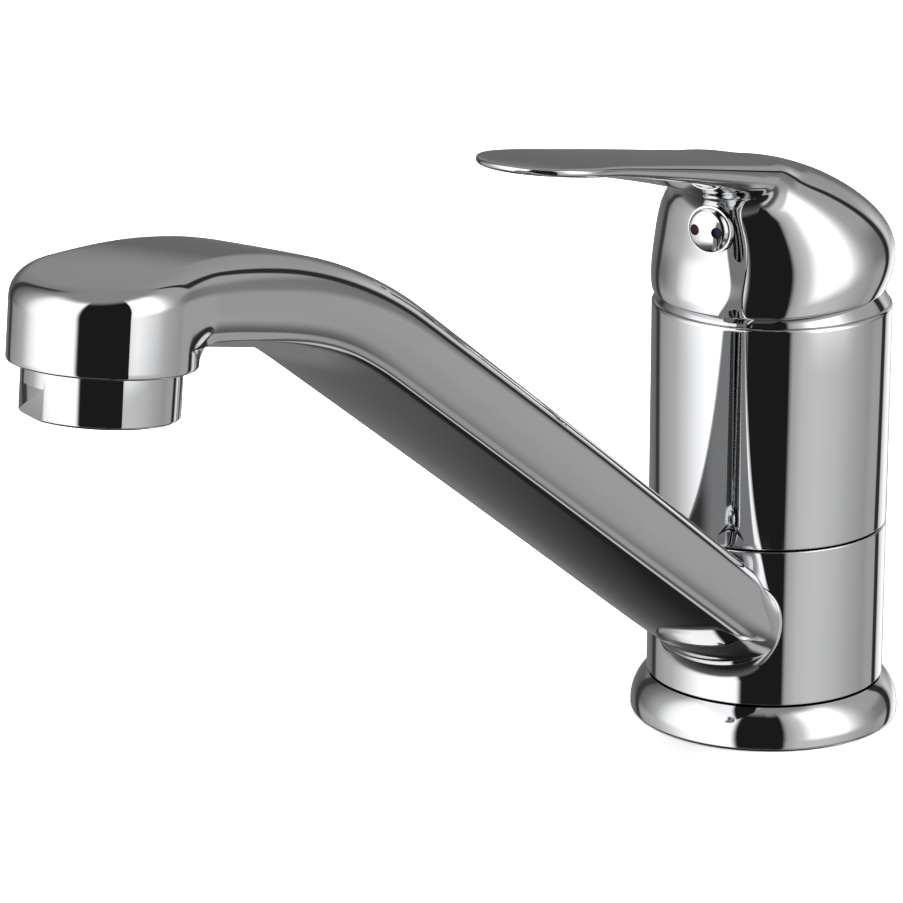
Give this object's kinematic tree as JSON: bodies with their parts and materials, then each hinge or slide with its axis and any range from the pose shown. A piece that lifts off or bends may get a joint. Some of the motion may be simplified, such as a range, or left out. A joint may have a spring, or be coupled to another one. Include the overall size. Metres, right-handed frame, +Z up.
{
  "type": "kitchen faucet",
  "caption": "Single-lever kitchen sink mixer: round chrome column, low arched swivel spout with aerator, domed handle with a flat lever that lifts for flow and turns for heat.",
  "frame": {"origin": "centre of the base flange on the worktop, in the plane of its underside", "axes": "+Z up along the column, -Y forward along the spout and the lever, +X to the cold side"},
  "size_m": [0.051, 0.239, 0.1316],
  "materials": {
    "chrome_plate": "polished chrome plating on cast brass",
    "raw_brass": "machined",
    "steel": "stainless",
    "black_rubber": "moulded",
    "white_plastic": "moulded acetal",
    "grey_plastic": "moulded",
    "white_ceramic": "lapped",
    "plated_plastic": "chrome-plated",
    "hot_mark": "dark red",
    "cold_mark": "dark blue"
  },
  "bodies": {
    "column": {"base_flange": "chrome_plate", "base_gasket": "black_rubber", "body_casting": "chrome_plate", "upper_slide_ring": "white_plastic", "lower_slide_ring": "white_plastic", "spout_retaining_ring": "raw_brass", "upper_spout_seal": "black_rubber", "lower_spout_seal": "black_rubber", "cartridge_base": "grey_plastic", "cartridge_port_seals": "black_rubber", "fixed_ceramic_disc": "white_ceramic", "cartridge_housing": "grey_plastic", "cartridge_nut": "raw_brass", "dome_cap": "chrome_plate", "cap_o_ring": "black_rubber"},
    "swivel_spout": {"spout": "chrome_plate", "aerator_housing": "chrome_plate", "aerator_gasket": "black_rubber", "aerator_insert": "grey_plastic", "aerator_screen": "steel"},
    "carrier": {"cartridge_carrier": "white_plastic", "pivot_pin": "steel"},
    "handle": {"handle_lever": "chrome_plate", "spindle": "raw_brass", "grub_screw": "steel", "indicator_plug": "plated_plastic", "hot_dot": "hot_mark", "cold_dot": "cold_mark"},
    "disc_slider": {"disc_driver": "white_plastic", "moving_ceramic_disc": "white_ceramic"}
  },
  "joints": [
    {"name": "spout_swivel", "type": "hinge", "parent": "column", "child": "swivel_spout", "pos_m": [0, 0, 0.023], "axis": [0, 0, 1], "continuous": true},
    {"name": "temperature_turn", "type": "hinge", "parent": "column", "child": "carrier", "pos_m": [0, 0, 0.069], "axis": [0, 0, 1], "range_deg": [-50, 50]},
    {"name": "flow_lift", "type": "hinge", "parent": "carrier", "child": "handle", "pos_m": [0, 0, 0.069], "axis": [-1, 0, 0], "range_deg": [0, 18]},
    {"name": "disc_slide", "type": "slide", "parent": "carrier", "child": "disc_slider", "axis": [0, -1, 0], "range_m": [0, 0.00346]}
  ],
  "couplings": [
    {"joint": "disc_slide", "follows": "flow_lift", "m_per_rad": 0.011}
  ]
}
